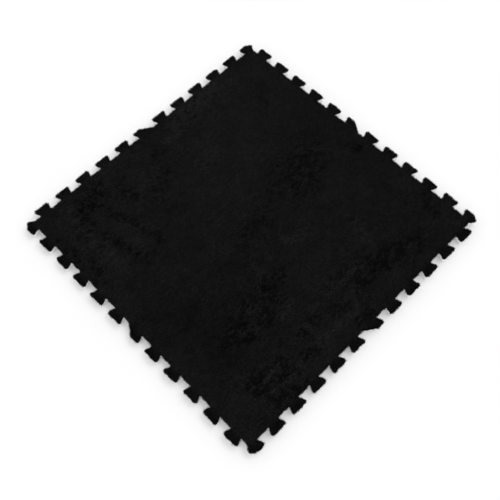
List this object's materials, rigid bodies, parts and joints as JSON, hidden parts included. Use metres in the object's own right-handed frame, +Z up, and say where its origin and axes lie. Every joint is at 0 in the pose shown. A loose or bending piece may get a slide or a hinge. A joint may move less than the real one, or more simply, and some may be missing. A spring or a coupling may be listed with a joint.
{
  "type": "interlocking floor mat",
  "caption": "Square plush-topped foam floor mat of interlocking square tiles with dovetail teeth on every side.",
  "frame": {"origin": "on the floor, under the point where the four tiles meet", "axes": "+Z up, +X to the right tiles, +Y to the rear tiles"},
  "size_m": [0.6158, 0.6158, 0.015],
  "materials": {
    "foam_base": "white closed-cell EVA foam, matt, with a fine cell texture",
    "glue_film": "translucent hot-melt adhesive web",
    "knit_backing": "black polyester knit",
    "plush_pile": "black polyester plush, short shaggy pile with brushed swirls"
  },
  "bodies": {
    "tile_front_left": {"foam_base_front_left": "foam_base", "glue_film_front_left": "glue_film", "knit_backing_front_left": "knit_backing", "plush_pile_front_left": "plush_pile"},
    "tile_front_right": {"foam_base_front_right": "foam_base", "glue_film_front_right": "glue_film", "knit_backing_front_right": "knit_backing", "plush_pile_front_right": "plush_pile"},
    "tile_rear_left": {"foam_base_rear_left": "foam_base", "glue_film_rear_left": "glue_film", "knit_backing_rear_left": "knit_backing", "plush_pile_rear_left": "plush_pile"},
    "tile_rear_right": {"foam_base_rear_right": "foam_base", "glue_film_rear_right": "glue_film", "knit_backing_rear_right": "knit_backing", "plush_pile_rear_right": "plush_pile"}
  },
  "joints": [
    {"name": "lift_front_right", "type": "slide", "parent": "tile_front_left", "child": "tile_front_right", "axis": [0, 0, 1], "range_m": [0, 0.04]},
    {"name": "lift_rear_left", "type": "slide", "parent": "tile_front_left", "child": "tile_rear_left", "axis": [0, 0, 1], "range_m": [0, 0.04]},
    {"name": "lift_rear_right", "type": "slide", "parent": "tile_front_left", "child": "tile_rear_right", "axis": [0, 0, 1], "range_m": [0, 0.04]}
  ]
}
